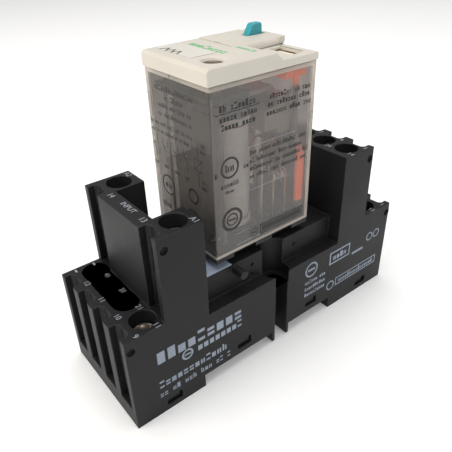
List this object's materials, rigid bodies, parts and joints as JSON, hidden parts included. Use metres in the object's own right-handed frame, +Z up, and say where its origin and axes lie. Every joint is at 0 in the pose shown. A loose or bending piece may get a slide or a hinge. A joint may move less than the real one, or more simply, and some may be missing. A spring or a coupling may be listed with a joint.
{
  "type": "plug-in relay with socket",
  "caption": "Clear-cased changeover relay plugged into a black screw-terminal socket for rail or panel mounting, with test button, locking door and flag.",
  "frame": {"origin": "middle of the underside of the socket, in the plane that it stands on", "axes": "+Z up, away from the rail; +X along the socket from the coil end to the normally closed end; +Y across the socket"},
  "size_m": [0.078, 0.0274, 0.0695],
  "materials": {
    "socket_plastic": "black moulded polyamide, fine eroded texture",
    "base_plastic": "black moulded polyamide, smoother than the housing",
    "label_blue": "pale blue printed sticker",
    "screw_steel": "zinc-plated steel",
    "clamp_steel": "zinc-plated steel",
    "bar_brass": "stamped brass",
    "relay_black": "black moulded thermoset",
    "clear_plastic": "smoke-tinted clear polycarbonate",
    "cap_plastic": "cream moulded plastic, satin",
    "flag_plastic": "cream moulded plastic",
    "label_white": "white paper label",
    "blade_metal": "tinned brass",
    "magnet_iron": "nickel-plated soft iron",
    "bobbin_plastic": "white moulded bobbin plastic",
    "winding_copper": "enamelled copper wire",
    "tape_white": "white polyester tape",
    "contact_silver": "silver alloy contacts",
    "board_green": "green circuit board",
    "led_green": "tinted indicator lamp",
    "diode_black": "black epoxy body",
    "resistor_tan": "lacquered resistor body",
    "carrier_plastic": "ivory moulded plastic",
    "spring_metal": "phosphor bronze strip",
    "spring_steel": "spring wire",
    "button_teal": "teal moulded plastic",
    "lever_orange": "orange moulded plastic"
  },
  "bodies": {
    "socket": {"socket_housing": "socket_plastic", "coil_base_cover": "base_plastic", "contact_base_cover": "base_plastic", "wiring_label": "label_blue", "rail_clip_spring": "spring_steel", "com_screws": "screw_steel", "coil_screws": "screw_steel", "no_screws": "screw_steel", "nc_screws": "screw_steel", "com_clamp_plates": "clamp_steel", "coil_clamp_plates": "clamp_steel", "no_clamp_plates": "clamp_steel", "nc_clamp_plates": "clamp_steel", "com_busbars": "bar_brass", "coil_busbars": "bar_brass", "no_busbars": "bar_brass", "nc_busbars": "bar_brass"},
    "rail_clip": {"rail_clip": "base_plastic"},
    "relay": {"relay_base": "relay_black", "clear_cover": "clear_plastic", "relay_cap": "cap_plastic", "marking_label": "label_white", "coil_blades": "blade_metal", "com_blades": "blade_metal", "no_blades": "blade_metal", "nc_blades": "blade_metal", "yoke": "magnet_iron", "coil_core": "magnet_iron", "bobbin": "bobbin_plastic", "coil_winding": "winding_copper", "coil_tape": "tape_white", "coil_leads": "winding_copper", "no_contact_tips": "contact_silver", "nc_contact_tips": "contact_silver", "circuit_board": "board_green", "indicator_led": "led_green", "surge_diode": "diode_black", "series_resistor": "resistor_tan", "lead_wires": "winding_copper", "return_spring": "spring_steel"},
    "armature": {"armature": "magnet_iron", "contact_carrier": "carrier_plastic", "moving_springs": "spring_metal", "moving_contact_tips": "contact_silver"},
    "button": {"test_button": "button_teal", "test_lever": "lever_orange"},
    "flag": {"status_flag": "flag_plastic"},
    "door": {"locking_door": "cap_plastic"}
  },
  "joints": [
    {"name": "relay_plug", "type": "slide", "parent": "socket", "child": "relay", "axis": [0, 0, 1], "range_m": [0, 0.03]},
    {"name": "rail_clip_pull", "type": "slide", "parent": "socket", "child": "rail_clip", "axis": [1, 0, 0], "range_m": [0, 0.003], "stiffness_N_per_m": 600, "springref_m": -0.003, "deforming": ["rail_clip_spring"]},
    {"name": "test_button_press", "type": "slide", "parent": "relay", "child": "button", "axis": [0, 0, -1], "range_m": [0, 0.0015], "stiffness_N_per_m": 500, "springref_m": -0.003},
    {"name": "armature_rock", "type": "hinge", "parent": "relay", "child": "armature", "pos_m": [-0.0108, 0, 0.0577], "axis": [0, 1, 0], "range_deg": [0, 2], "deforming": ["return_spring", "lead_wires"]},
    {"name": "flag_shift", "type": "slide", "parent": "relay", "child": "flag", "axis": [-1, 0, 0], "range_m": [0, 0.002]},
    {"name": "door_lift", "type": "hinge", "parent": "relay", "child": "door", "pos_m": [0.0109, 0.009, 0.0665], "axis": [0, 1, 0], "range_deg": [0, 90]}
  ],
  "couplings": [
    {"joint": "armature_rock", "follows": "test_button_press", "rad_per_m": 23.27},
    {"joint": "flag_shift", "follows": "test_button_press", "ratio": 1.333}
  ]
}
